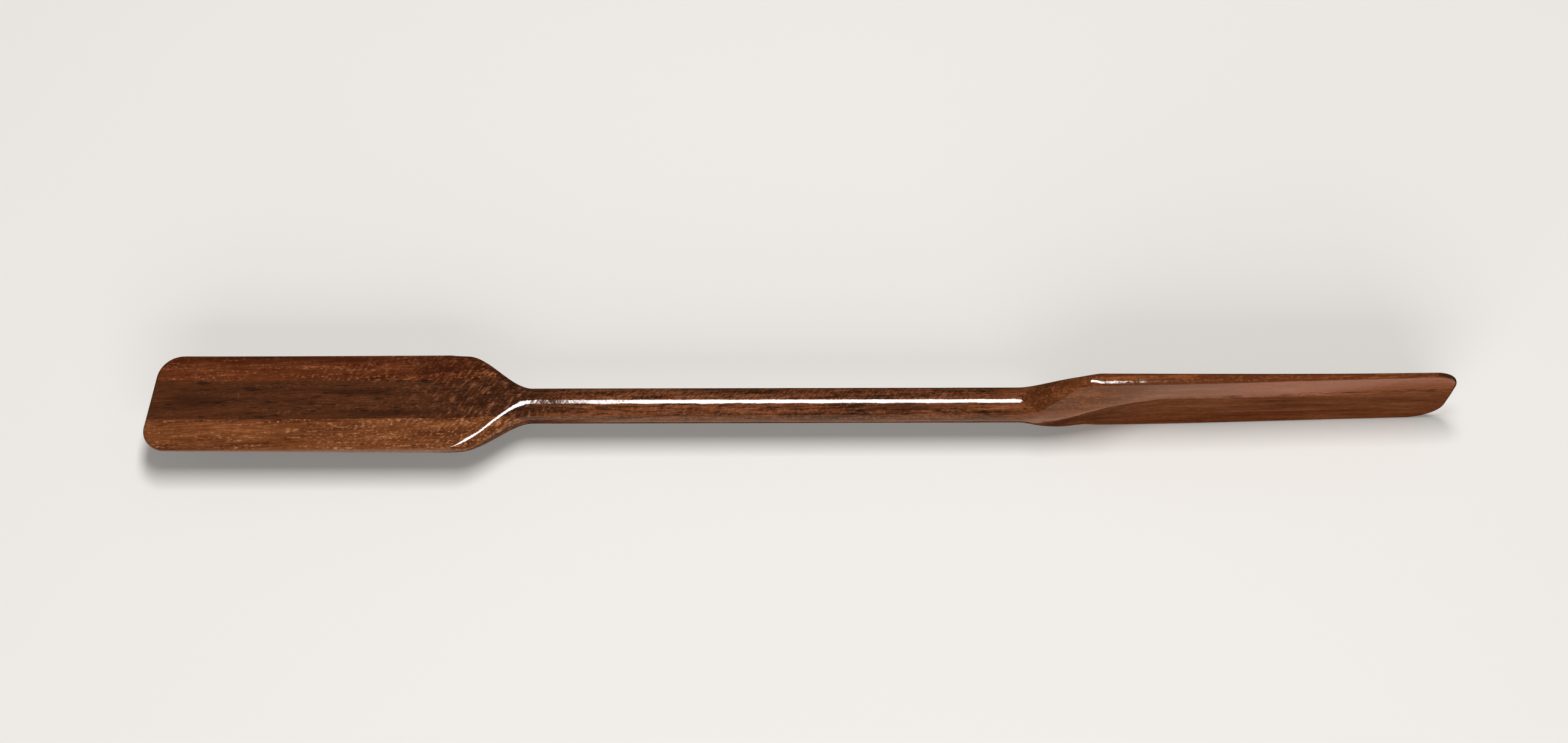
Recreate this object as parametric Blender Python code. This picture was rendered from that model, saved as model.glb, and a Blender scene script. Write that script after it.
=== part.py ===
"""Small double-bladed kayak paddle in oiled and varnished walnut.

A loom runs from tip to tip: it is the round shaft and the middle strip of both blades. Two
edge strips are glued to each blade's part of the loom, and the whole is shaved to shape.
The blades are feathered by a right angle: the left blade lies flat, the right one stands on edge.

Frame: X along the shaft, +X towards the right blade, +Z up, origin at the middle of the
whole paddle on the shaft's axis. Metres.
"""

from dataclasses import dataclass
from math import ceil, cos, hypot, pi, radians, sin, sqrt, tan

import bmesh
import bpy
from mathutils import Vector

# ---- driving dimensions, in metres and degrees
OVERALL_LENGTH = 0.3050
SHAFT_RADIUS = 0.0041
BLADE_WIDTH = 0.0238

LONG_GLUE_PLANE = 0.0041  # the middle strip's two sides, from the shaft's axis
SHORT_GLUE_PLANE = -0.0055
GLUE_GAP = 0.0003
FEATHER_END = 0.0004  # width at which an edge strip's thin end is cut off

ROOT_THICKNESS = 0.0033  # the blade's thickness where the shoulder ends, and at its tip
TIP_THICKNESS = 0.0013
ARRIS_WIDTH = 0.0004
EDGE_FULLNESS = 0.8  # how much of each half of a blade's edge is rounded; the rest is flat
WEB_OFFSET = 0.0014  # the blade sits this far to the power-face side of the shaft's axis
FACE_HOLLOW = 0.0003  # how far the power face dips across its width
BACK_RIDGE = 0.00025  # height of the faint ridge along the back
BACK_RIDGE_PLANE = 0.0031

# Distances from the neck, where the shaft ends, at which each change starts and is complete.
LONG_SHOULDER_END = 0.0172
SHORT_SHOULDER_END = 0.0151
THINNING_START = 0.0030
THINNING_END = 0.0190
ARRIS_START = 0.0130
ARRIS_END = 0.0192
SPINE_START = 0.0060
SPINE_END = 0.0360
SPREAD_END = 0.0220  # where the spine has spread to the blade's full width
SPINE_HALF_WIDTH = 0.0050
TIP_ZONE = 0.0160  # the part of the blade, at its tip, that the tip's outline shapes
CAMBER_POWER = 1.5  # the blade curves more and more towards its tip

# ---- mesh resolution
RING_HALF = 16  # points on each half of the loom's ring, so the shaft has twice as many sides
STRIP_STEPS = 4
ARRIS_STEPS = 3
ARRIS_SHARE = 0.8  # the rounded edge takes at most this share of an edge strip's points' span
TIP_STEPS = 5
SHAFT_STEPS = 4
SHOULDER_PITCH = 0.0017
BLADE_PITCH = 0.0100
SEARCH_STEP = 0.00005
SHARP_ANGLE = radians(35)

HALF_WIDTH = BLADE_WIDTH / 2
# The ring's outermost points stop short of the outline by this much on the round shaft.
HALF_STEP = pi / (2 * RING_HALF)
RING_TRIM = SHAFT_RADIUS * (1 - cos(HALF_STEP))


@dataclass(frozen=True)
class Blade:
    """One blade, in its own directions: out along the shaft, to its long edge, to its power face."""

    name: str
    length: float
    tip_slant: float
    long_corner: float
    short_corner: float
    camber: float
    out: Vector
    to_long_edge: Vector
    to_power_face: Vector

    def place(self, along, across, height):
        """The point this far from the neck, across from the axis, and up to the power face."""
        from_middle = OVERALL_LENGTH / 2 - self.length + along
        return self.out * from_middle + self.to_long_edge * across + self.to_power_face * height


LEFT = Blade(
    name="left",
    length=0.0903,
    tip_slant=radians(11.0),
    long_corner=0.0050,
    short_corner=0.0066,
    camber=0.0006,
    out=Vector((-1, 0, 0)),
    to_long_edge=Vector((0, -1, 0)),
    to_power_face=Vector((0, 0, 1)),
)
RIGHT = Blade(
    name="right",
    length=0.1017,
    tip_slant=radians(8.0),
    long_corner=0.0050,
    short_corner=0.0092,
    camber=0.0010,
    out=Vector((1, 0, 0)),
    to_long_edge=Vector((0, 0, 1)),
    to_power_face=Vector((0, 1, 0)),
)


# ---- helpers


def ease(value, start, end):
    """0 before start, 1 after end, and a smooth S between them."""
    t = min(max((value - start) / (end - start), 0.0), 1.0)
    return t * t * (3 - 2 * t)


def mix(a, b, share):
    return a + (b - a) * share


# ---- the blade's outline, seen along its power face


def long_side(along):
    """Distance from the axis to the outline on the long-edge side."""
    return mix(SHAFT_RADIUS, HALF_WIDTH, ease(along, 0, LONG_SHOULDER_END))


def short_side(along):
    return mix(SHAFT_RADIUS, HALF_WIDTH, ease(along, 0, SHORT_SHOULDER_END))


def corner_centres(blade):
    """The centres of the tip's two corner arcs, as (along, across). The slanted edge touches both."""
    long_along = blade.length - blade.long_corner
    long_across = HALF_WIDTH - blade.long_corner
    short_across = blade.short_corner - HALF_WIDTH
    step = blade.long_corner - blade.short_corner
    step -= sin(blade.tip_slant) * (long_across - short_across)
    short_along = long_along + step / cos(blade.tip_slant)
    return (long_along, long_across), (short_along, short_across)


def tip_edge(blade, across):
    """How far along the blade its tip edge lies, at this distance across."""
    (long_along, long_across), (short_along, short_across) = corner_centres(blade)
    slant = blade.tip_slant
    if across > long_across - blade.long_corner * sin(slant):
        rise = across - long_across
        return long_along + sqrt(max(blade.long_corner**2 - rise**2, 0.0))
    if across < short_across - blade.short_corner * sin(slant):
        rise = across - short_across
        return short_along + sqrt(max(blade.short_corner**2 - rise**2, 0.0))
    return long_along + (blade.long_corner + sin(slant) * (across - long_across)) / cos(slant)


def inset(blade, along, across):
    """Distance inwards from the blade's outline."""
    side = long_side(along) - across if across > 0 else short_side(along) + across
    if along < blade.length - TIP_ZONE:
        return max(side, 0.0)
    (long_along, long_across), (short_along, short_across) = corner_centres(blade)
    out, rise = along - long_along, across - long_across
    if out > 0 and rise > -tan(blade.tip_slant) * out:
        return max(blade.long_corner - hypot(out, rise), 0.0)
    edge = blade.long_corner - cos(blade.tip_slant) * out + sin(blade.tip_slant) * rise
    out, rise = along - short_along, across - short_across
    if out > 0 and rise < -tan(blade.tip_slant) * out:
        return max(blade.short_corner - hypot(out, rise), 0.0)
    return max(min(side, edge), 0.0)


# ---- the blade's thickness


def thickness(blade, along):
    blade_part = mix(ROOT_THICKNESS, TIP_THICKNESS, ease(along, THINNING_START, blade.length))
    return mix(2 * SHAFT_RADIUS, blade_part, ease(along, THINNING_START, THINNING_END))


def middle(blade, along):
    """Height of the blade's mid surface: offset from the shaft, then cambered towards the tip."""
    offset = WEB_OFFSET * ease(along, THINNING_START, THINNING_END)
    reach = max(along - THINNING_END, 0.0) / (blade.length - THINNING_END)
    return offset + blade.camber * reach**CAMBER_POWER


def edge_width(along):
    """How far in from the outline the rounding of the edge starts: all the way in, on the shaft."""
    return mix(SHAFT_RADIUS, ARRIS_WIDTH, ease(along, ARRIS_START, ARRIS_END))


def edge_drop(blade, along, across):
    """How far each face falls towards the outline, along a quarter of an ellipse."""
    share = 1 - inset(blade, along, across) / edge_width(along)
    if share <= 0:
        return 0.0
    depth = thickness(blade, along) / 2 * mix(1.0, EDGE_FULLNESS, ease(along, 0, ARRIS_START))
    return depth * (1 - sqrt(1 - share**2))


def spine(blade, along, across):
    """Extra height of the back: the shaft dying away into a faint ridge."""
    crest = mix(SHAFT_RADIUS, 0.0, ease(along, SPINE_START, SPINE_END))
    flat = thickness(blade, along) / 2 - middle(blade, along)
    height = max(crest - max(flat, 0.0), 0.0)
    spread = ease(along, SPINE_START, SPREAD_END)
    line = BACK_RIDGE_PLANE * spread
    to_edge = HALF_WIDTH - line if across > line else HALF_WIDTH + line
    share = max(1 - ((across - line) / mix(SPINE_HALF_WIDTH, to_edge, spread)) ** 2, 0.0)
    ridge = BACK_RIDGE * max(1 - abs(across - line) / to_edge, 0.0)
    return height * share**2 + ridge * ease(along, ARRIS_START, THINNING_END)


def power_face(blade, along, across):
    hollow = FACE_HOLLOW * (1 - (across / HALF_WIDTH) ** 2) * ease(along, ARRIS_START, THINNING_END)
    half = thickness(blade, along) / 2
    return middle(blade, along) + half - hollow - edge_drop(blade, along, across)


def back_face(blade, along, across):
    half = thickness(blade, along) / 2
    ridge = spine(blade, along, across)
    return middle(blade, along) - half - ridge + edge_drop(blade, along, across)


# ---- sections across the blade, from its short-edge side to its long-edge side


def rounded_steps(low, high, trim):
    """Points from low to high, close together at both ends, as on half a circle."""
    low, high = low + trim, high - trim
    for index in range(RING_HALF):
        share = (1 - cos((2 * index + 1) * HALF_STEP) / cos(HALF_STEP)) / 2
        yield mix(low, high, share)


def strip_steps(inner, outer, width):
    """Points from a glue face to the outline, with the last few on the rounded arris."""
    width = min(width, ARRIS_SHARE * abs(outer - inner))
    arris = outer - width if outer > inner else outer + width
    for index in range(STRIP_STEPS):
        yield mix(inner, arris, index / STRIP_STEPS)
    for index in range(ARRIS_STEPS + 1):
        yield mix(arris, outer, sin(index / ARRIS_STEPS * pi / 2))


def strip_start(inner_plane, side):
    """Where along the shoulder the outline stands clear of a glue plane by the feather end's width."""
    along = 0.0
    while side(along) < abs(inner_plane) + FEATHER_END:
        along += SEARCH_STEP
    return along


LONG_STRIP_START = strip_start(LONG_GLUE_PLANE, long_side)
SHORT_STRIP_START = strip_start(SHORT_GLUE_PLANE, short_side)


def loom_sides(along):
    """The loom's two sides: the paddle's own outline near the neck, and the glue planes beyond it."""
    low = -short_side(along)
    high = long_side(along)
    if along >= SHORT_STRIP_START:
        low = SHORT_GLUE_PLANE + GLUE_GAP / 2
    if along >= LONG_STRIP_START:
        high = LONG_GLUE_PLANE - GLUE_GAP / 2
    return low, high


def ring(blade, stations):
    """A closed ring: the power face's points, then the back's points in the other direction."""
    face = [blade.place(along, across, power_face(blade, along, across)) for along, across in stations]
    back = [blade.place(along, across, back_face(blade, along, across)) for along, across in stations]
    return face + back[::-1]


def spaced(low, high, pitch):
    """Even steps from low up to but not including high, none longer than pitch."""
    steps = ceil((high - low) / pitch)
    return [mix(low, high, index / steps) for index in range(steps)]


def blade_rows(blade, breaks, points_at):
    """Rings from the first break to the blade's tip. points_at(along) gives the points across one row."""
    zone = blade.length - TIP_ZONE
    alongs = []
    for low, high in zip(breaks, breaks[1:] + [THINNING_END]):
        alongs += spaced(low, high, SHOULDER_PITCH)
    alongs += spaced(THINNING_END, zone, BLADE_PITCH)
    rows = [[(along, across) for across in points_at(along)] for along in alongs]
    edge = points_at(zone)
    for index in range(TIP_STEPS):
        share = index / TIP_STEPS
        row = [(mix(zone, tip_edge(blade, across) - ARRIS_WIDTH, share), across) for across in edge]
        rows.append(row)
    for index in range(ARRIS_STEPS + 1):
        back_off = ARRIS_WIDTH * (1 - sin(index / ARRIS_STEPS * pi / 2))
        rows.append([(tip_edge(blade, across) - back_off, across) for across in edge])
    return [ring(blade, row) for row in rows]


# ---- meshes and objects


def turned(points, quarter_turns):
    """The same ring, numbered from a point some quarter turns further round."""
    start = quarter_turns * len(points) // 4
    return points[start:] + points[:start]


def closed_body(name, rings, material, quarter_turns=0):
    """Skin a stack of rings, and close each end with a ladder of faces from power face to back.

    quarter_turns is how far round the last ring's numbering lies from the first ring's.
    """
    skin = bmesh.new()
    loops = [[skin.verts.new(point) for point in points] for points in rings]
    count = len(loops[0])
    for this, following in zip(loops, loops[1:]):
        for index in range(count):
            after = (index + 1) % count
            skin.faces.new((this[index], this[after], following[after], following[index]))
    for end in (loops[0], turned(loops[-1], -quarter_turns)):
        for index in range(count // 2 - 1):
            opposite = count - 1 - index
            skin.faces.new((end[index], end[index + 1], end[opposite - 1], end[opposite]))
    bmesh.ops.recalc_face_normals(skin, faces=skin.faces)
    mesh = bpy.data.meshes.new(name)
    skin.to_mesh(mesh)
    skin.free()
    mesh.shade_smooth()
    mesh.set_sharp_from_angle(angle=SHARP_ANGLE)
    mesh.materials.append(material)
    body = bpy.data.objects.new(name, mesh)
    bpy.context.scene.collection.objects.link(body)
    return body


def varnished_wood(name, colour, roughness):
    material = bpy.data.materials.new(name)
    material.use_nodes = True
    shader = material.node_tree.nodes["Principled BSDF"]
    shader.inputs["Base Color"].default_value = (*colour, 1.0)
    shader.inputs["Roughness"].default_value = roughness
    shader.inputs["Metallic"].default_value = 0.0
    return material


def loom(material):
    """The one piece that runs from tip to tip."""

    def points_at(along):
        low, high = loom_sides(along)
        trim = RING_TRIM * (1 - ease(along, 0, SHORT_STRIP_START))
        return list(rounded_steps(low, high, trim))

    # Each edge strip's thin end sits against a small step in the loom's side.
    breaks = [0.0]
    for start in (LONG_STRIP_START, SHORT_STRIP_START):
        breaks += [start - GLUE_GAP / 2, start]
    left = blade_rows(LEFT, breaks, points_at)
    right = blade_rows(RIGHT, breaks, points_at)
    shaft_points = [(0.0, across) for across in points_at(0.0)]
    neck_gap = OVERALL_LENGTH - LEFT.length - RIGHT.length
    shaft = []
    for index in range(1, SHAFT_STEPS):
        back_off = neck_gap * index / SHAFT_STEPS
        shaft.append([point - LEFT.out * back_off for point in ring(LEFT, shaft_points)])
    # The blades are feathered a quarter turn, so the right one's rings are renumbered by as much.
    feathered = [turned(points, 1) for points in right]
    return closed_body("loom", left[::-1] + shaft + feathered, material, quarter_turns=1)


def long_edge_strip(blade, material):
    inner = LONG_GLUE_PLANE + GLUE_GAP / 2

    def points_at(along):
        return list(strip_steps(inner, long_side(along), edge_width(along)))

    rows = blade_rows(blade, [LONG_STRIP_START + GLUE_GAP / 2], points_at)
    return closed_body(blade.name + "_blade_long_edge", rows, material)


def short_edge_strip(blade, material):
    inner = SHORT_GLUE_PLANE - GLUE_GAP / 2

    def points_at(along):
        return list(strip_steps(inner, -short_side(along), edge_width(along)))

    rows = blade_rows(blade, [SHORT_STRIP_START + GLUE_GAP / 2], points_at)
    return closed_body(blade.name + "_blade_short_edge", rows, material)


def main():
    for leftover in list(bpy.data.objects):
        bpy.data.objects.remove(leftover, do_unlink=True)
    loom(varnished_wood("loom_wood", (0.095, 0.050, 0.030), 0.25))
    light_wood = varnished_wood("long_edge_wood", (0.190, 0.080, 0.035), 0.30)
    red_wood = varnished_wood("short_edge_wood", (0.150, 0.050, 0.020), 0.30)
    for blade in (LEFT, RIGHT):
        long_edge_strip(blade, light_wood)
        short_edge_strip(blade, red_wood)


main()
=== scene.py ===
"""The looks of a small walnut kayak paddle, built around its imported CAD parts.

Each of the five glued pieces is lofted again finely in the place and size that the frame gives,
with the marks of hand shaping, and gets its own varnished walnut. Lengths are in metres, and in
the materials, where grain is drawn, in millimetres.
"""

from dataclasses import dataclass
from math import cos, pi, radians, sin

import bmesh
import bpy
import numpy as np
from mathutils import Matrix, Vector


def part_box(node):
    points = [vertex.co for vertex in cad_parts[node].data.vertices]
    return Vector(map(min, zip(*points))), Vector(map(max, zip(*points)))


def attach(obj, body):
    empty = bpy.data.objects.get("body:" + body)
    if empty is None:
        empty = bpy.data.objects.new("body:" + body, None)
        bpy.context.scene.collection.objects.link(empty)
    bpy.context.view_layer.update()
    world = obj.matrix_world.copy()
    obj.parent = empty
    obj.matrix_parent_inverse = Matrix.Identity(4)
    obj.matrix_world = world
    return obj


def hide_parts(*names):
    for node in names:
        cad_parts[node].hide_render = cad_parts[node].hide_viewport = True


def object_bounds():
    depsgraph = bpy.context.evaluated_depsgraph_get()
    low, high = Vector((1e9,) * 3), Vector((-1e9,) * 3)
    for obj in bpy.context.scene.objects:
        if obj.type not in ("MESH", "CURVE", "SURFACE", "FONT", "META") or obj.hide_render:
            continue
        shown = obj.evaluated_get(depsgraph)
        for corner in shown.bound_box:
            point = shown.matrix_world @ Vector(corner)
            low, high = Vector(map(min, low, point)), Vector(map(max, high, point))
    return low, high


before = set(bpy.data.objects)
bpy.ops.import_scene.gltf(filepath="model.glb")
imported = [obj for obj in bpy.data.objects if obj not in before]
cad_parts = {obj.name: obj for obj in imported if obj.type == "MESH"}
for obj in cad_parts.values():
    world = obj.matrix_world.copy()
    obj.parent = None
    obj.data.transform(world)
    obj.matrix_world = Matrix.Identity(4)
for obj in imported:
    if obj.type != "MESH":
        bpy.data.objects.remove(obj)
CAD_LOW, CAD_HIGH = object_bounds()

# ---- sizes read from the frame
CAD_GLUE_GAP = 0.0003
HALF_WIDTH = CAD_HIGH.z
LONG_GLUE_PLANE = -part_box("left_blade_long_edge")[1].y - CAD_GLUE_GAP / 2
SHORT_GLUE_PLANE = CAD_GLUE_GAP / 2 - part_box("left_blade_short_edge")[0].y
SHAFT_RADIUS = LONG_GLUE_PLANE  # the long strips are glued on level with the shaft's side

# ---- the shape between those sizes, as in the CAD: distances out from the neck, then thicknesses
LONG_SHOULDER_END = 0.0172
SHORT_SHOULDER_END = 0.0151
THINNING_START = 0.0030
THINNING_END = 0.0190
ARRIS_START = 0.0130
ARRIS_END = 0.0192
SPINE_START = 0.0060
SPINE_END = 0.0360
SPREAD_END = 0.0220
SPINE_HALF_WIDTH = 0.0050
TIP_ZONE = 0.0160
CAD_FEATHER_END = 0.0004

ROOT_THICKNESS = 0.0033
TIP_THICKNESS = 0.0013
ARRIS_WIDTH = 0.0004
EDGE_FULLNESS = 0.8
WEB_OFFSET = 0.0014
FACE_HOLLOW = 0.0003
BACK_RIDGE = 0.00025
CAMBER_POWER = 1.5

# ---- what the CAD leaves out: a tight glue line, and the marks of the knife and scraper
MM = 0.001
GLUE_LINE = 0.00002
FEATHER_END = 0.00005
RIDGE_AT_NECK = 0.0046
RIDGE_AT_TIP = 0.0016
RIDGE_WANDER = 0.0003
RIDGE_PITCH = 0.0210
EDGE_WANDER = 0.00005
EDGE_PITCH = 0.0170
WIDEST_ARRIS = 0.8  # as a share of a strip's width there
SCRAPE_DEPTH = 0.000014
SCRAPE_LENGTH = 0.0074
SCRAPE_WIDTH = 0.0061
SCRAPE_STROKE = 0.0190
FACE_PHASE = 0.7  # these two make the tool marks on each face its own
BACK_PHASE = 1.9
SHAVING_DEPTH = 0.000030
SHAVING_LENGTH = 0.0130
SHAVING_TWIST = 0.0040
SHAVED_FLATS = 7

# ---- mesh resolution
RING_HALF = 48
STRIP_COLUMNS = 26
ARRIS_COLUMNS = 8
ROW_PITCH = 0.00035
SHAFT_PITCH = 0.0005
SHARP_ANGLE = radians(35)


@dataclass(frozen=True)
class Blade:
    """One blade, in its own directions: out along the shaft, to its long edge, to its power face."""

    name: str
    out: tuple
    to_long_edge: tuple
    to_power_face: tuple
    tip_slant: float
    long_corner: float
    short_corner: float
    camber: float
    phase: float  # makes each blade's tool marks its own

    @property
    def tip(self):
        """Distance from the paddle's middle to either tip: the frame's origin is midway between them."""
        return CAD_HIGH.x

    @property
    def neck(self):
        """Distance from the paddle's middle to where the shaft ends and this blade starts."""
        low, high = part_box(self.name + "_blade_long_edge")
        nearest = min(abs(low.x), abs(high.x))
        return nearest - CAD_GLUE_GAP / 2 - strip_start(LONG_GLUE_PLANE, long_side, CAD_FEATHER_END)

    @property
    def length(self):
        return self.tip - self.neck


LEFT = Blade(
    name="left",
    out=(-1, 0, 0),
    to_long_edge=(0, -1, 0),
    to_power_face=(0, 0, 1),
    tip_slant=radians(11.0),
    long_corner=0.0050,
    short_corner=0.0066,
    camber=0.0006,
    phase=0.3,
)
RIGHT = Blade(
    name="right",
    out=(1, 0, 0),
    to_long_edge=(0, 0, 1),
    to_power_face=(0, 1, 0),
    tip_slant=radians(8.0),
    long_corner=0.0050,
    short_corner=0.0092,
    camber=0.0010,
    phase=2.1,
)


# ---- helpers


def ease(value, start, end):
    """0 before start, 1 after end, and a smooth S between them."""
    t = np.clip((value - start) / (end - start), 0.0, 1.0)
    return t * t * (3 - 2 * t)


def mix(a, b, share):
    return a + (b - a) * share


def wander(value, pitch, phase):
    """A smooth irregular wave between about -1 and 1, with humps about pitch apart."""
    turn = 2 * pi * value / pitch
    wave = np.sin(turn + phase) + 0.6 * np.sin(1.618 * turn + 2.3 * phase)
    return (wave + 0.5 * np.sin(0.53 * turn + 4.1 * phase)) / 2.1


# ---- the blade's outline


def long_side(along):
    return mix(SHAFT_RADIUS, HALF_WIDTH, ease(along, 0, LONG_SHOULDER_END))


def short_side(along):
    return mix(SHAFT_RADIUS, HALF_WIDTH, ease(along, 0, SHORT_SHOULDER_END))


def strip_start(plane, side, feather):
    """Where along the shoulder the outline stands clear of a glue plane by the feather end's width."""
    along = np.linspace(0, LONG_SHOULDER_END, 2000)
    return float(np.interp(abs(plane) + feather, side(along), along))


def corner_centres(blade):
    """The centres of the tip's two corner arcs, as (along, across). The slanted edge touches both."""
    long_along = blade.length - blade.long_corner
    long_across = HALF_WIDTH - blade.long_corner
    short_across = blade.short_corner - HALF_WIDTH
    step = blade.long_corner - blade.short_corner
    step -= sin(blade.tip_slant) * (long_across - short_across)
    short_along = long_along + step / cos(blade.tip_slant)
    return (long_along, long_across), (short_along, short_across)


def tip_edge(blade, across):
    """How far along the blade its tip edge lies, at this distance across."""
    (long_along, long_across), (short_along, short_across) = corner_centres(blade)
    lean, square = sin(blade.tip_slant), cos(blade.tip_slant)
    straight = long_along + (blade.long_corner + lean * (across - long_across)) / square
    long_arc = long_along + arc_reach(blade.long_corner, across - long_across)
    short_arc = short_along + arc_reach(blade.short_corner, across - short_across)
    edge = np.where(across > long_across - blade.long_corner * lean, long_arc, straight)
    return np.where(across < short_across - blade.short_corner * lean, short_arc, edge)


def arc_reach(radius, rise):
    """How far an arc reaches out from its centre, at this rise across."""
    return np.sqrt(np.maximum(radius**2 - rise**2, 0.0))


def inset(blade, along, across):
    """Distance inwards from the blade's outline."""
    side = np.where(across > 0, long_side(along) - across, short_side(along) + across)
    (long_along, long_across), (short_along, short_across) = corner_centres(blade)
    lean, square = sin(blade.tip_slant), cos(blade.tip_slant)
    slant = lean / square
    edge = blade.long_corner - square * (along - long_along) + lean * (across - long_across)
    result = np.minimum(side, edge)
    out, rise = along - long_along, across - long_across
    arc = blade.long_corner - np.hypot(out, rise)
    result = np.where((out > 0) & (rise > -slant * out), arc, result)
    out, rise = along - short_along, across - short_across
    arc = blade.short_corner - np.hypot(out, rise)
    result = np.where((out > 0) & (rise < -slant * out), arc, result)
    return np.maximum(result, 0.0)


# ---- the blade's thickness


def thickness(blade, along):
    blade_part = mix(ROOT_THICKNESS, TIP_THICKNESS, ease(along, THINNING_START, blade.length))
    return mix(2 * SHAFT_RADIUS, blade_part, ease(along, THINNING_START, THINNING_END))


def middle(blade, along):
    """Height of the blade's mid surface: offset from the shaft, then cambered towards the tip."""
    offset = WEB_OFFSET * ease(along, THINNING_START, THINNING_END)
    reach = np.maximum(along - THINNING_END, 0.0) / (blade.length - THINNING_END)
    return offset + blade.camber * reach**CAMBER_POWER


def edge_width(along):
    """How far in from the outline the rounding of the edge starts: all the way in, on the shaft."""
    return mix(SHAFT_RADIUS, ARRIS_WIDTH, ease(along, ARRIS_START, ARRIS_END))


def edge_drop(blade, along, across):
    """How far each face falls towards the outline, along a quarter of an ellipse."""
    share = np.clip(1 - inset(blade, along, across) / edge_width(along), 0.0, 1.0)
    depth = thickness(blade, along) / 2 * mix(1.0, EDGE_FULLNESS, ease(along, 0, ARRIS_START))
    return depth * (1 - np.sqrt(1 - share**2))


def ridge_line(blade, along):
    """Where across the back its faint carved ridge runs."""
    drift = mix(RIDGE_AT_NECK, RIDGE_AT_TIP, np.clip(along / blade.length, 0.0, 1.0))
    return drift + RIDGE_WANDER * wander(along, RIDGE_PITCH, blade.phase)


def spine(blade, along, across):
    """Extra height of the back: the shaft dying away into a faint ridge."""
    crest = mix(SHAFT_RADIUS, 0.0, ease(along, SPINE_START, SPINE_END))
    flat = np.maximum(thickness(blade, along) / 2 - middle(blade, along), 0.0)
    height = np.maximum(crest - flat, 0.0)
    spread = ease(along, SPINE_START, SPREAD_END)
    line = ridge_line(blade, along) * spread
    to_edge = np.where(across > line, HALF_WIDTH - line, HALF_WIDTH + line)
    share = np.maximum(1 - ((across - line) / mix(SPINE_HALF_WIDTH, to_edge, spread)) ** 2, 0.0)
    ridge = BACK_RIDGE * np.maximum(1 - np.abs(across - line) / to_edge, 0.0)
    return height * share**2 + ridge * ease(along, ARRIS_START, THINNING_END)


def scraped(blade, along, across, phase):
    """Depth of the shallow hollows that a hand scraper leaves."""
    waves = wander(along, SCRAPE_LENGTH, phase + blade.phase) * wander(across, SCRAPE_WIDTH, 2 * phase)
    return SCRAPE_DEPTH * (1 + 0.5 * waves + 0.5 * wander(along, SCRAPE_STROKE, phase))


def power_face(blade, along, across):
    hollow = FACE_HOLLOW * (1 - (across / HALF_WIDTH) ** 2) * ease(along, ARRIS_START, THINNING_END)
    half = thickness(blade, along) / 2 - scraped(blade, along, across, FACE_PHASE)
    return middle(blade, along) + half - hollow - edge_drop(blade, along, across)


def back_face(blade, along, across):
    half = thickness(blade, along) / 2 - scraped(blade, along, across, BACK_PHASE)
    drop = edge_drop(blade, along, across)
    return middle(blade, along) - half - spine(blade, along, across) + drop


# ---- rings of points, from the neck out to the tip


def half_steps(count):
    """Angles in the middle of each of count equal steps of a quarter turn."""
    return (np.arange(count) + 0.5) * pi / (2 * count)


def loom_columns(along):
    """Points across the loom, close together at both sides, as round the shaft."""
    low = -np.minimum(short_side(along), -SHORT_GLUE_PLANE - GLUE_LINE / 2)
    high = np.minimum(long_side(along), LONG_GLUE_PLANE - GLUE_LINE / 2)
    share = (1 - np.cos(2 * half_steps(RING_HALF))) / 2
    return mix(low[:, None], high[:, None], share[None, :])


def strip_columns(blade, along, inner, side):
    """Points from a glue face to the outline, with the last few round the arris."""
    sign = 1 if inner > 0 else -1
    room = np.maximum(side(along) - abs(inner), FEATHER_END)
    room = room - EDGE_WANDER * (1 + wander(along, EDGE_PITCH, 3 + sign + blade.phase)) / 2
    room = np.maximum(room, FEATHER_END)
    width = np.minimum(edge_width(along), WIDEST_ARRIS * room)
    flat = (room - width)[:, None] * (np.arange(STRIP_COLUMNS) / STRIP_COLUMNS)[None, :]
    arris = (room - width)[:, None] + width[:, None] * np.sin(half_steps(ARRIS_COLUMNS))[None, :]
    return inner + sign * np.concatenate([flat, arris], axis=1)


def blade_rows(blade, start, columns):
    """Two grids, along and across: rows from start to the tip, each row one ring of the piece."""
    zone = blade.length - TIP_ZONE
    straight = np.linspace(start, zone, int((zone - start) / ROW_PITCH), endpoint=False)
    across = columns(straight)
    along = np.repeat(straight[:, None], across.shape[1], axis=1)
    edge = columns(np.array([zone]))
    reach = tip_edge(blade, edge)
    share = np.linspace(0, 1, int(TIP_ZONE / ROW_PITCH), endpoint=False)[:, None]
    near_tip = mix(zone, reach - ARRIS_WIDTH, share)
    arris = reach - ARRIS_WIDTH * (1 - np.sin(half_steps(ARRIS_COLUMNS)))[:, None]
    along = np.concatenate([along, near_tip, arris])
    across = np.concatenate([across, np.repeat(edge, len(along) - len(across), axis=0)])
    return along, across


def rings(blade, along, across):
    """Closed rings: each holds the power face's points, then the back's the other way round.

    Returns their places, and their (along, across, distance to the tip) in the blade's own terms.
    """
    face = power_face(blade, along, across)
    back = back_face(blade, along, across)
    height = np.concatenate([face, back[:, ::-1]], axis=1)
    to_tip = tip_edge(blade, across) - along
    along, across, to_tip = (np.concatenate([g, g[:, ::-1]], axis=1) for g in (along, across, to_tip))
    parts = zip((blade.out, blade.to_long_edge, blade.to_power_face), (blade.neck + along, across, height))
    place = sum(np.multiply.outer(amount, np.array(direction, float)) for direction, amount in parts)
    return place, np.stack([along, across, to_tip], axis=-1)


# ---- meshes


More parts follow.
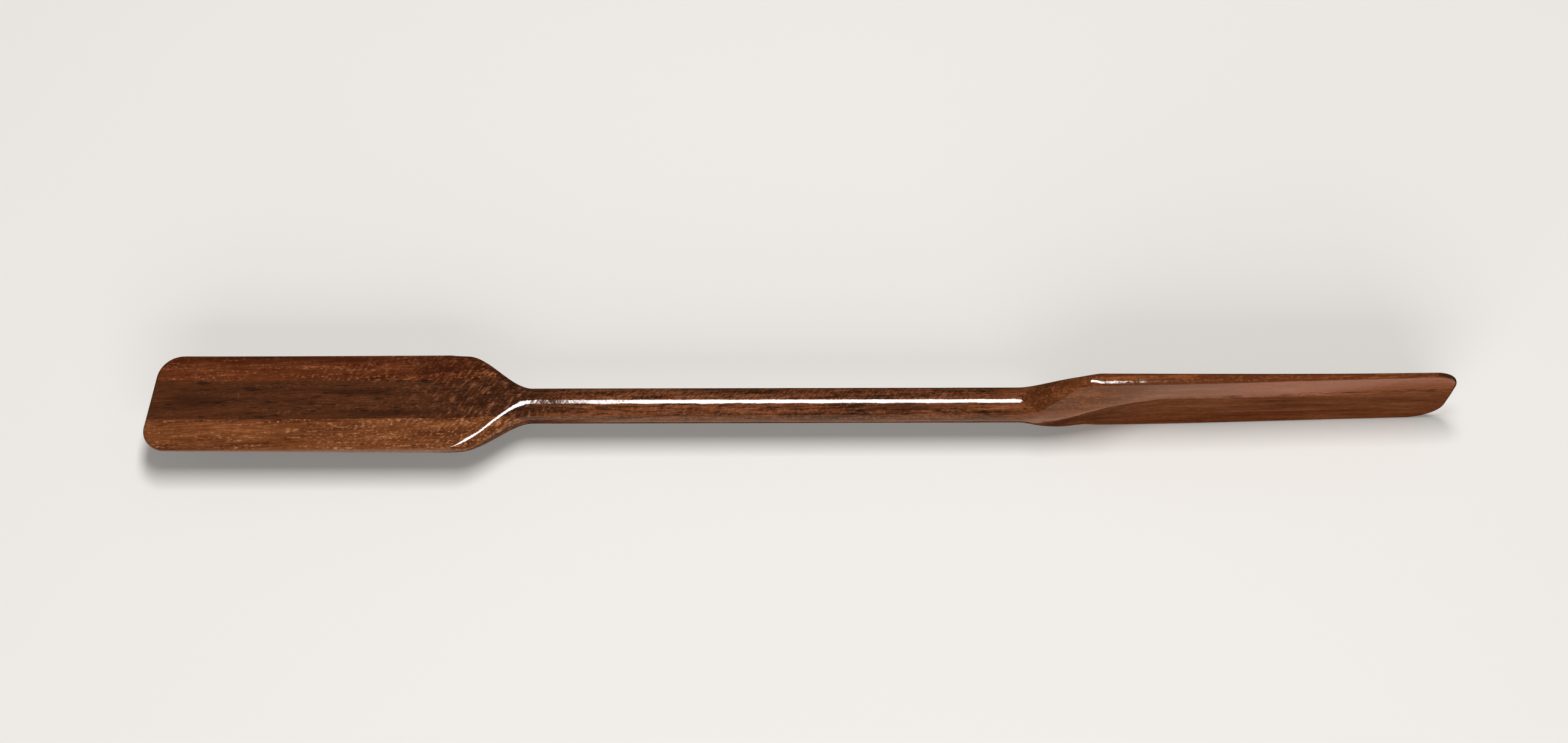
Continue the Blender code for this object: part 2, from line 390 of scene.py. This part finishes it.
def closed_mesh(name, place, terms, quarter_turns=0):
    """Skins a stack of rings and closes both ends. terms is kept as the points' attribute "blade".

    quarter_turns is how far round the last ring's numbering lies from the first ring's.
    """
    rows, count = place.shape[:2]
    row, column = np.meshgrid(np.arange(rows - 1), np.arange(count), indexing="ij")
    here = row * count + column
    beside = row * count + (column + 1) % count
    skin = np.stack([here, beside, beside + count, here + count], axis=-1).reshape(-1, 4)
    step = np.arange(count // 2 - 1)
    cap = np.stack([step, step + 1, count - 2 - step, count - 1 - step], axis=-1)
    end_cap = (cap - quarter_turns * count // 4) % count + (rows - 1) * count
    mesh = bpy.data.meshes.new(name)
    mesh.from_pydata(place.reshape(-1, 3), [], np.concatenate([skin, cap, end_cap]).tolist())
    attribute = mesh.attributes.new("blade", "FLOAT_VECTOR", "POINT")
    attribute.data.foreach_set("vector", (terms / MM).astype(np.float32).ravel())
    editor = bmesh.new()
    editor.from_mesh(mesh)
    bmesh.ops.recalc_face_normals(editor, faces=editor.faces)
    editor.to_mesh(mesh)
    editor.free()
    mesh.shade_smooth()
    mesh.set_sharp_from_angle(angle=SHARP_ANGLE)
    return mesh


def add_piece(node, mesh, material):
    """The piece that stands for one CAD node."""
    piece = bpy.data.objects.new(node + "_wood", mesh)
    bpy.context.scene.collection.objects.link(piece)
    mesh.materials.append(material)
    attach(piece, "root")
    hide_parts(node)


def loom_mesh(left, right):
    """The one piece that runs from tip to tip: two blades' middle strips and the shaft between."""
    left_place, left_terms = rings(left, *blade_rows(left, 0.0, loom_columns))
    right_place, right_terms = rings(right, *blade_rows(right, 0.0, loom_columns))
    # The blades are feathered a quarter turn, so the right one's rings are renumbered by as much.
    right_place = np.roll(right_place, -RING_HALF // 2, axis=1)
    right_terms = np.roll(right_terms, -RING_HALF // 2, axis=1)
    span = left.neck + right.neck
    steps = int(span / SHAFT_PITCH)
    share = (np.arange(1, steps) / steps)[:, None, None]
    shaft_place = mix(left_place[:1], right_place[:1], share)
    shaft_terms = np.repeat(left_terms[:1], steps - 1, axis=0)
    shaft_terms[..., 0] = -np.minimum(share, 1 - share)[..., 0] * span
    place = np.concatenate([left_place[::-1], shaft_place, right_place])
    terms = np.concatenate([left_terms[::-1], shaft_terms, right_terms])
    return closed_mesh("loom_wood", shaved_round(place), terms, quarter_turns=1)


def shaved_round(place):
    """Flattens the shaft's surface a little, here and there, as a spokeshave does."""
    radius = np.hypot(place[..., 1], place[..., 2])
    angle = np.arctan2(place[..., 2], place[..., 1])
    strokes = wander(place[..., 0] + SHAVING_TWIST * np.sin(3 * angle), SHAVING_LENGTH, 0.4)
    flats = strokes * np.cos(SHAVED_FLATS * angle + 1.1)
    on_shaft = radius < 1.02 * SHAFT_RADIUS
    pull = SHAVING_DEPTH * (1 + flats) / 2 * on_shaft
    place[..., 1:] *= (1 - pull / np.maximum(radius, SHAFT_RADIUS / 2))[..., None]
    return place


def long_edge_mesh(blade):
    """The strip that widens a blade on its long edge's side."""

    def columns(along):
        return strip_columns(blade, along, LONG_GLUE_PLANE + GLUE_LINE / 2, long_side)

    start = strip_start(LONG_GLUE_PLANE, long_side, FEATHER_END)
    return closed_mesh("long_edge_wood", *rings(blade, *blade_rows(blade, start, columns)))


def short_edge_mesh(blade):
    """The strip that widens a blade on its short edge's side."""

    def columns(along):
        return strip_columns(blade, along, SHORT_GLUE_PLANE - GLUE_LINE / 2, short_side)

    start = strip_start(SHORT_GLUE_PLANE, short_side, FEATHER_END)
    return closed_mesh("short_edge_wood", *rings(blade, *blade_rows(blade, start, columns)))


# ---- materials: varnished walnut


class Shader:
    """One material's node tree, with a method for each kind of node the wood needs.

    A value may be a number, a colour, or another node's output.
    """

    def __init__(self, name):
        self.material = bpy.data.materials.new(name)
        self.material.use_nodes = True
        self.tree = self.material.node_tree
        self.principled = self.tree.nodes["Principled BSDF"]

    def feed(self, socket, value):
        """Links another node's output to an input, or sets the input's value."""
        if isinstance(value, bpy.types.NodeSocket):
            self.tree.links.new(value, socket)
        elif isinstance(value, tuple) and len(value) == 3 and socket.type == "RGBA":
            socket.default_value = (*value, 1.0)
        else:
            socket.default_value = value

    def node(self, kind, inputs, output=0, **settings):
        """Adds a node, feeds its inputs, and gives one of its outputs."""
        made = self.tree.nodes.new("ShaderNode" + kind)
        for name, value in settings.items():
            setattr(made, name, value)
        for key, value in inputs.items():
            self.feed(made.inputs[key], value)
        return made.outputs[output]

    def math(self, operation, a, b=0.0, c=0.0):
        return self.node("Math", {0: a, 1: b, 2: c}, operation=operation)

    def add(self, a, b):
        return self.math("ADD", a, b)

    def times(self, a, b):
        return self.math("MULTIPLY", a, b)

    def step(self, value, low, high, start=0.0, end=1.0):
        """start where value is under low, end where it is over high, and smooth between."""
        inputs = {"Value": value, "From Min": low, "From Max": high, "To Min": start, "To Max": end}
        return self.node("MapRange", inputs, interpolation_type="SMOOTHSTEP")

    def swing(self, noise, strength):
        """A noise from 0 to 1, moved to swing evenly about 0, and scaled."""
        return self.times(self.add(noise, -0.5), strength)

    def bump(self, height, strength, distance):
        return self.node("Bump", {"Height": height, "Strength": strength, "Distance": distance})

    def blend(self, share, a, b, kind="MIX"):
        made = self.tree.nodes.new("ShaderNodeMix")
        made.data_type = "RGBA"
        made.blend_type = kind
        for key, value in ((0, share), (6, a), (7, b)):
            self.feed(made.inputs[key], value)
        return made.outputs[2]

    def point(self):
        """The place in the paddle's own axes, in millimetres."""
        place = self.node("TexCoord", {}, output="Object")
        return self.node("VectorMath", {0: place, "Scale": 1 / MM}, operation="SCALE")

    def ellipse(self, x, y, middle_x, middle_y, half_length, half_width):
        """How far out a place is from an ellipse's middle: 0 there, and 1 on the ellipse."""
        right = self.times(self.add(x, -middle_x), 1 / half_length)
        up = self.times(self.add(y, -middle_y), 1 / half_width)
        reach = self.node("CombineXYZ", {0: right, 1: up})
        return self.node("VectorMath", {0: reach}, output="Value", operation="LENGTH")

    def split(self, vector):
        made = self.tree.nodes.new("ShaderNodeSeparateXYZ")
        self.feed(made.inputs[0], vector)
        return tuple(made.outputs)

    def grain(self, point, length, width, seed, detail=2.0, roughness=0.5, bend=0.0):
        """Noise from 0 to 1 whose blotches are about length long with the grain, and width across."""
        stretch = (1 / length, 1 / width, 1 / width)
        place = self.node("VectorMath", {0: point, 1: stretch}, operation="MULTIPLY")
        place = self.node("VectorMath", {0: place, 1: (seed, 1.7 * seed, 0.6 * seed)}, operation="ADD")
        return self.noise(place, detail, roughness, bend)

    def noise(self, place, detail, roughness, bend=0.0):
        inputs = {"Vector": place, "Scale": 1.0, "Detail": detail, "Roughness": roughness, "Distortion": bend}
        return self.node("TexNoise", inputs)


@dataclass(frozen=True)
class Look:
    """How one piece of walnut looks. Colours are linear."""

    dark: tuple
    middle: tuple
    light: tuple
    fleck: tuple
    flecks: float  # how strong the pale flecks and their painted glints are, 0 to 1
    cracks: float  # how strong the short black cracks along the grain are, 0 to 1
    ticks: float  # how strong the cross-grain figure is on the shaft and near the necks, 0 to 1
    patches: float  # and how strong it is in patches elsewhere
    right_tone: float  # how light the shaft and the right blade are: 0.5 as the left blade, 1 lighter; partly painted light on the upright right blade
    left_contrast: float  # how strong the streaks are on the left blade, 1 as elsewhere
    seed: float
    smoky: tuple = ()  # soft dark patches: middle x and y, half length and half width


# Where the wood's look changes, in millimetres. SHAFT_END is out from a neck, the rest along the paddle.
SHAFT_END = (-7.0, 1.0)
LEFT_NECK = (-66.0, -52.0)
TICKS_FADE = (32.0, 52.0)
FLECKS_FADE = (36.0, 52.0)
CRACKS_FADE = (50.0, 66.0)
BRIGHTENS = (54.0, 70.0)

# The tones over which one colour turns into the next, and what makes the tone and the brightness.
DARK_TO_MIDDLE = (0.05, 0.55)
MIDDLE_TO_LIGHT = (0.55, 1.05)
LIGHT_TO_FLECK = (1.05, 1.75)
BROAD_SWING = 1.9
STREAK_SWING = 1.7
BLOTCH_SWING = 0.9
LEFT_TONE = 0.5
SHAFT_CONTRAST = 1.1  # on top of the 1 elsewhere
SHAFT_DARKENING = -0.25
# the right blade's higher brightness is partly painted light, for its upright face
BRIGHTNESS_LEFT = 0.55
BRIGHTNESS_RIGHT = 0.92
FIBRE_BRIGHTNESS = 0.90

# From where each kind of mark starts to where it is full, in its own noise if not said otherwise.
DARK_TICKS = (0.54, 0.40)
PALE_TICKS = (0.56, 0.70)
FLECK_SPOTS = (0.50, 0.72)
FLECK_ROWS = (0.40, 0.62)
PORES = (0.60, 0.70)
CRACKS = (0.60, 0.67)
SMOKE = (1.10, 0.20)  # 1 is the patch's own outline
END_GRAIN_AND_SHADE = (0.35, 0.05)  # millimetres from the tip: the end face, nearly black as end grain and as painted shade

BLACK_PORE = (0.010, 0.006, 0.004)
WOOD_ROUGHNESS = 0.30
COAT_ROUGHNESS = 0.05
GRAIN_RELIEF = 0.00006
FILM_RELIEF = 0.00005


class Walnut(Shader):
    """Varnished walnut for one piece: first the noises and marks it shares, then what is made of them."""

    def __init__(self, name, look):
        super().__init__(name)
        self.look = look
        self.place = self.point()
        self.x, self.y, self.z = self.split(self.place)
        blade = self.node("Attribute", {}, output="Vector", attribute_name="blade")
        self.along, _, self.to_tip = self.split(blade)
        self.on_shaft = self.step(self.along, *SHAFT_END, 1.0, 0.0)
        self.slant = self.slanted()
        self.streak = self.figure(self.slant, length=9.0, width=0.42, seed=3.1, detail=4.0, roughness=0.62)
        self.fibre = self.figure(self.slant, length=3.0, width=0.11, seed=7.7, roughness=0.6)
        self.blotch = self.figure(
            self.place, length=1.5, width=0.9, seed=1.3, detail=4.0, roughness=0.6, bend=0.5
        )
        self.ticks = self.tick_waves()
        self.near_neck = self.neck_mask()
        self.ticked = self.tick_mask()
        self.flecks_and_glints = self.fleck_and_glint_mask()
        self.pores = self.step(self.figure(self.slant, length=2.4, width=0.15, seed=4.4, detail=1.0), *PORES)
        self.cracks = self.crack_mask()

    def figure(self, place, length, width, seed, **kind):
        """Grain of this piece's own: its seed is counted from the look's."""
        return self.grain(place, length, width, self.look.seed + seed, **kind)

    def slanted(self):
        """The place, slanted slightly, so that the streaks rise across the blade as in the split log."""
        y = self.add(self.y, self.times(self.x, -0.045))
        z = self.add(self.z, self.times(self.x, 0.03))
        return self.node("CombineXYZ", {0: self.x, 1: y, 2: z})

    def tick_waves(self):
        """Waves of figure that slant across the grain: closer together on the shaft."""
        lean = self.add(self.x, self.add(self.times(self.y, -0.75), self.times(self.z, 0.35)))
        fine = self.noise(self.tick_place(lean, 2.3, 0.8), detail=2.0, roughness=0.6)
        coarse = self.noise(self.tick_place(lean, 1.2, 0.65), detail=2.0, roughness=0.5)
        on_blade = self.step(self.along, *SHAFT_END)
        return self.add(self.times(fine, self.on_shaft), self.times(coarse, on_blade))

    def tick_place(self, lean, waves_along, waves_across):
        y = self.times(self.y, waves_across)
        z = self.times(self.z, waves_across)
        return self.node("CombineXYZ", {0: self.times(lean, waves_along), 1: y, 2: z})

    def neck_mask(self):
        """Where the ticks are strong: near the necks, and on the shaft, though less so on its front."""
        near = self.times(self.step(self.along, 10.0, 36.0, 1.0, 0.0), self.look.ticks)
        loss = self.times(self.on_shaft, self.step(self.y, -2.0, 1.5, -0.70, -0.15))
        return self.times(near, self.add(1.0, loss))

    def tick_mask(self):
        """Where ticks show at all: near the necks, and in patches elsewhere."""
        patches = self.figure(self.place, length=11.0, width=2.6, seed=5.0, detail=1.0)
        strength = self.step(self.along, 26.0, 60.0, self.look.patches, 0.25 * self.look.patches)
        patches = self.times(self.step(patches, 0.42, 0.62, 0.2, 1.0), strength)
        either = self.math("MAXIMUM", patches, self.near_neck)
        return self.times(either, self.step(self.x, *TICKS_FADE, 1.0, 0.15))

    def fleck_and_glint_mask(self):
        """Pale flecks in loose rows: where short rays meet the surface, and painted glints of the lamp on
        them.
        """
        spots = self.figure(self.place, length=0.85, width=0.50, seed=9.0)
        rows = self.figure(self.place, length=14.0, width=0.7, seed=2.0)
        rows = self.add(rows, self.step(self.along, 8.0, 70.0, 0.10, -0.04))
        share = self.times(self.step(spots, *FLECK_SPOTS), self.step(rows, *FLECK_ROWS))
        share = self.times(share, self.step(self.x, *FLECKS_FADE, 1.0, 0.3))
        return self.times(share, self.add(1.0, self.on_shaft))

    def crack_mask(self):
        """Long pores that opened into short black cracks."""
        share = self.figure(self.slant, length=3.8, width=0.50, seed=6.2, detail=1.5, bend=0.25)
        strength = self.step(self.x, *CRACKS_FADE, self.look.cracks, 0.15 * self.look.cracks)
        return self.times(self.step(share, *CRACKS), strength)

    def smoke_mask(self, patch):
        """One soft dark patch, frayed by the streaks."""
        reach = self.ellipse(self.x, self.y, *patch)
        return self.step(self.add(reach, self.add(self.streak, -0.5)), *SMOKE, 0.0, 0.7)

    def tone(self):
        """How light the wood is, before its marks, and on the upright right blade partly painted light:
        darkest at 0 and under.
        """
        look = self.look
        broad = self.figure(self.slant, length=26.0, width=2.4, seed=0.0, detail=3.0, bend=0.4)
        tone = self.add(self.swing(broad, BROAD_SWING), self.swing(self.streak, STREAK_SWING))
        tone = self.add(tone, self.swing(self.blotch, BLOTCH_SWING))
        tone = self.times(tone, self.step(self.x, *LEFT_NECK, look.left_contrast, 1.0))
        tone = self.times(tone, self.add(1.0, self.times(self.on_shaft, SHAFT_CONTRAST)))
        # lighter on the shaft and right blade; on the upright right blade this is partly painted light
        tone = self.add(tone, self.step(self.x, *LEFT_NECK, LEFT_TONE, look.right_tone))
        return self.add(tone, self.times(self.on_shaft, SHAFT_DARKENING))

    def streaked(self):
        """The colour of the wood, streaked, made lighter or darker by its fine fibres, and lighter on the
        upright right blade, which is partly painted light.
        """
        look = self.look
        tone = self.tone()
        colour = self.blend(self.step(tone, *DARK_TO_MIDDLE), look.dark, look.middle)
        colour = self.blend(self.step(tone, *MIDDLE_TO_LIGHT), colour, look.light)
        colour = self.blend(self.step(tone, *LIGHT_TO_FLECK, 0.0, 0.5), colour, look.fleck)
        # lighter from the right neck on: partly painted light on the upright right blade
        brightness = self.step(self.x, *BRIGHTENS, BRIGHTNESS_LEFT, BRIGHTNESS_RIGHT)
        brightness = self.add(brightness, self.times(self.fibre, FIBRE_BRIGHTNESS))
        grey = self.node("CombineColor", {0: brightness, 1: brightness, 2: brightness})
        return self.blend(1.0, colour, grey, "MULTIPLY")

    def marked(self, colour):
        """The same with every kind of mark over it. The tip's end face goes nearly black: end grain, and
        painted shade.
        """
        look = self.look
        colour = self.blend(self.times(self.step(self.ticks, *DARK_TICKS), self.ticked), colour, look.dark)
        pale = self.times(self.step(self.ticks, *PALE_TICKS), self.times(self.ticked, 0.70))
        colour = self.blend(pale, colour, look.fleck)
        # pale flecks: partly the wood's rays, partly painted glints
        colour = self.blend(self.times(self.flecks_and_glints, look.flecks), colour, look.fleck)
        colour = self.blend(self.times(self.pores, 0.45), colour, look.dark)
        for patch in look.smoky:
            colour = self.blend(self.smoke_mask(patch), colour, look.dark)
        colour = self.blend(self.times(self.cracks, 0.70), colour, BLACK_PORE)
        # the tip's end face: its end grain, and painted shade
        return self.blend(self.step(self.to_tip, *END_GRAIN_AND_SHADE, 0.0, 0.60), colour, BLACK_PORE)

    def relief(self):
        """The height of the wood's surface under the varnish."""
        height = self.add(self.times(self.streak, 0.5), self.times(self.fibre, 0.25))
        height = self.add(height, self.times(self.times(self.ticks, self.ticked), 1.2))
        height = self.add(height, self.times(self.flecks_and_glints, 0.35))
        return self.add(height, self.times(self.pores, -0.35))

    def film(self):
        """The height of the varnish: its own ripple, and a trace of what lies under it."""
        ripple = self.figure(self.place, length=2.6, width=1.4, seed=8.0)
        ticks = self.times(self.times(self.ticks, self.near_neck), 0.45)
        return self.add(ripple, self.add(self.times(self.streak, 0.25), ticks))


def walnut(name, look):
    """Wood under a clear coat, which alone mirrors the lamps."""
    wood = Walnut(name, look)
    rough = wood.add(WOOD_ROUGHNESS, wood.swing(wood.blotch, 0.25))
    inputs = {
        "Base Color": wood.marked(wood.streaked()),
        "Roughness": wood.add(rough, wood.times(wood.cracks, 0.4)),
        "Specular IOR Level": 0.0,
        "Coat Weight": 1.0,
        "Coat Roughness": COAT_ROUGHNESS,
        "Normal": wood.bump(wood.relief(), 0.6, GRAIN_RELIEF),
        "Coat Normal": wood.bump(wood.film(), 0.45, FILM_RELIEF),
    }
    for socket, value in inputs.items():
        wood.feed(wood.principled.inputs[socket], value)
    return wood.material


LOOM = Look(
    dark=(0.030, 0.009, 0.004),
    middle=(0.072, 0.022, 0.008),
    light=(0.150, 0.043, 0.014),
    fleck=(0.300, 0.120, 0.060),
    flecks=0.24,
    cracks=1.0,
    ticks=0.8,
    patches=0.2,
    right_tone=1.2,
    left_contrast=0.55,
    seed=1.0,
    smoky=(
        (-141.0, 0.5, 10.0, 2.6),
        (-104.0, 2.6, 15.0, 1.3),
        (-96.0, -2.6, 16.0, 1.2),
        (-18.0, 2.8, 14.0, 1.4),
        (24.0, -2.0, 16.0, 1.0),
    ),
)
LONG_EDGE = Look(
    dark=(0.075, 0.020, 0.006),
    middle=(0.155, 0.046, 0.014),
    light=(0.270, 0.096, 0.032),
    fleck=(0.480, 0.220, 0.100),
    flecks=0.70,
    cracks=0.25,
    ticks=0.7,
    patches=0.45,
    right_tone=0.15,
    left_contrast=1.0,
    seed=12.0,
)
SHORT_EDGE = Look(
    dark=(0.040, 0.008, 0.003),
    middle=(0.102, 0.0245, 0.007),
    light=(0.160, 0.044, 0.014),
    fleck=(0.360, 0.140, 0.060),
    flecks=0.60,
    cracks=0.25,
    ticks=1.0,
    patches=0.8,
    right_tone=0.9,
    left_contrast=1.0,
    seed=23.0,
    smoky=((-116.0, 11.2, 42.0, 2.0), (-82.0, 9.0, 12.0, 3.6)),
)


# ---- the stage

FLOOR_HALF = 4.0
FLOOR_COLOUR = (0.74, 0.72, 0.69)
FLOOR_BOUNCE = (0.16, 0.11, 0.08)
FLOOR_ROUGHNESS = 0.9
AMBIENT_COLOUR = (0.16, 0.155, 0.15)
MIRRORED_COLOUR = (0.03, 0.025, 0.02)

# What the varnish mirrors of the floor, in millimetres: spans along x, and places across in y.
FLOOR_MIRRORED = (1.00, 0.62, 0.43)
FLOOR_MIRRORED_RIGHT = (1.60, 0.78, 0.54)
FLOOR_WEDGE = (1.00, 0.36, 0.17)
FLOOR_SHADOW = (0.06, 0.035, 0.02)
RIGHT_LIGHT_SPAN = (80.0, 125.0)
SHADE_SPAN = (69.0, 150.0)
SHADE_EDGE = (-8.4, -7.0)
SHADE_BLUR = 0.7
WEDGE_SPAN = (112.0, 150.0)
WEDGE_OUTER = (-7.4, -10.2)
WEDGE_INNER = (-6.4, -7.4)
LEFT_SHADE = (-66.0, -12.5, 21.0, 8.0)  # an ellipse: middle x and y, half length and half width

CAMERA_ELEVATION = 66.57
CAMERA_ROLL = -0.137
CAMERA_DISTANCE = 1.2
CAMERA_CLIP = (0.01, 20.0)
CAMERA_LENS = 118.2
CAMERA_SENSOR = 36.0
CAMERA_AIM = (-0.003616, 0.007914)  # what the camera looks at, right and up from the shaft's middle


def floor_reflection(s, x, y):
    """The floor as the varnish mirrors it: a painted reflection of lit wood, with painted shade under and
    close to the paddle.
    """
    # painted shade on everything further back than an edge a little in front of the paddle
    edge = s.step(x, *SHADE_SPAN, *SHADE_EDGE)
    behind = s.step(y, edge, s.add(edge, SHADE_BLUR))
    # between that edge and a line that leaves it towards the right tip, the painted light is the warmest
    wedge = s.step(y, s.step(x, *WEDGE_SPAN, *WEDGE_OUTER), s.step(x, *WEDGE_SPAN, *WEDGE_INNER))
    lit = s.blend(s.step(x, *RIGHT_LIGHT_SPAN), FLOOR_MIRRORED, FLOOR_MIRRORED_RIGHT)
    lit = s.blend(wedge, lit, FLOOR_WEDGE)
    beside = s.step(s.ellipse(x, y, *LEFT_SHADE), 1.15, 0.65, 0.0, 0.9)
    return s.blend(s.math("MAXIMUM", behind, beside), lit, FLOOR_SHADOW)


def floor_material():
    """Pale to the camera, dark warm wood in the light it sends up, and a painted reflection of lit and shaded
    wood in the varnish.
    """
    s = Shader("floor_paint")
    seen = s.node("LightPath", {}, output="Is Camera Ray")
    mirrored = s.node("LightPath", {}, output="Is Glossy Ray")
    x, y, _ = s.split(s.point())
    colour = s.blend(mirrored, FLOOR_BOUNCE, floor_reflection(s, x, y))
    s.feed(s.principled.inputs["Base Color"], s.blend(seen, colour, FLOOR_COLOUR))
    s.feed(s.principled.inputs["Roughness"], FLOOR_ROUGHNESS)
    s.feed(s.principled.inputs["Specular IOR Level"], 0.0)
    return s.material


def add_floor():
    """A plain square floor that the paddle's lowest edges touch."""
    mesh = bpy.data.meshes.new("floor")
    sides = ((-1, -1), (1, -1), (1, 1), (-1, 1))
    corners = [(FLOOR_HALF * right, FLOOR_HALF * back, CAD_LOW.z) for right, back in sides]
    mesh.from_pydata(corners, [], [(0, 1, 2, 3)])
    mesh.materials.append(floor_material())
    floor = bpy.data.objects.new("floor", mesh)
    bpy.context.scene.collection.objects.link(floor)


def add_world():
    """Dim even light from all round, nearly black where the varnish mirrors it, pale to the camera."""
    world = bpy.data.worlds.new("studio")
    world.use_nodes = True
    nodes, links = world.node_tree.nodes, world.node_tree.links
    ray = nodes.new("ShaderNodeLightPath")
    mirrored, seen = nodes.new("ShaderNodeMix"), nodes.new("ShaderNodeMix")
    mixers = ((mirrored, "Is Glossy Ray", MIRRORED_COLOUR), (seen, "Is Camera Ray", FLOOR_COLOUR))
    for mixer, kind, colour in mixers:
        mixer.data_type = "RGBA"
        links.new(ray.outputs[kind], mixer.inputs[0])
        mixer.inputs[7].default_value = (*colour, 1.0)
    mirrored.inputs[6].default_value = (*AMBIENT_COLOUR, 1.0)
    links.new(mirrored.outputs[2], seen.inputs[6])
    links.new(seen.outputs[2], nodes["Background"].inputs["Color"])
    bpy.context.scene.world = world


def add_lamp(name, angle, distance, size, radiance, shift=0.0, mirrored=True):
    """A soft box facing the shaft. angle is from the +Y horizon, up and over to -Y; shift is along X."""
    lamp = bpy.data.lights.new(name, "AREA")
    lamp.shape = "RECTANGLE"
    lamp.size, lamp.size_y = size
    lamp.energy = radiance * pi * size[0] * size[1]
    holder = bpy.data.objects.new(name, lamp)
    direction = Vector((0, cos(radians(angle)), sin(radians(angle))))
    holder.location = direction * distance + Vector((shift, 0, 0))
    holder.rotation_mode = "QUATERNION"
    holder.rotation_quaternion = direction.to_track_quat("Z", "Y")
    holder.visible_camera = False
    holder.visible_glossy = mirrored
    bpy.context.scene.collection.objects.link(holder)


def add_camera():
    """From the front and well above, a little off the shaft's middle."""
    tilt, roll = radians(CAMERA_ELEVATION), radians(CAMERA_ROLL)
    forward = Vector((0, cos(tilt), -sin(tilt)))
    up = Vector((0, sin(tilt), cos(tilt)))
    right = Vector((1, 0, 0))
    right, up = right * cos(roll) + up * sin(roll), up * cos(roll) - right * sin(roll)
    data = bpy.data.cameras.new("camera")
    data.lens = CAMERA_LENS
    data.sensor_width = CAMERA_SENSOR
    data.clip_start, data.clip_end = CAMERA_CLIP
    camera = bpy.data.objects.new("camera", data)
    aim = right * CAMERA_AIM[0] + up * CAMERA_AIM[1]
    turn = Matrix((right, up, -forward)).transposed().to_4x4()
    camera.matrix_world = Matrix.Translation(aim - forward * CAMERA_DISTANCE) @ turn
    bpy.context.scene.collection.objects.link(camera)
    bpy.context.scene.camera = camera


def add_strips(blade):
    """The two strips that are glued to the loom on either side to make this blade."""
    node = blade.name + "_blade_long_edge"
    add_piece(node, long_edge_mesh(blade), walnut("long_edge_walnut", LONG_EDGE))
    node = blade.name + "_blade_short_edge"
    add_piece(node, short_edge_mesh(blade), walnut("short_edge_walnut", SHORT_EDGE))


def main():
    add_piece("loom", loom_mesh(LEFT, RIGHT), walnut("loom_walnut", LOOM))
    add_strips(LEFT)
    add_strips(RIGHT)
    add_floor()
    add_world()
    add_lamp("key", angle=85.0, distance=1.2, size=(0.25, 0.53), radiance=28.5, shift=0.025)
    add_lamp("fill", angle=152.0, distance=1.2, size=(1.4, 0.8), radiance=2.6, mirrored=False)
    add_camera()
    bpy.context.scene.view_settings.view_transform = "Standard"


main()
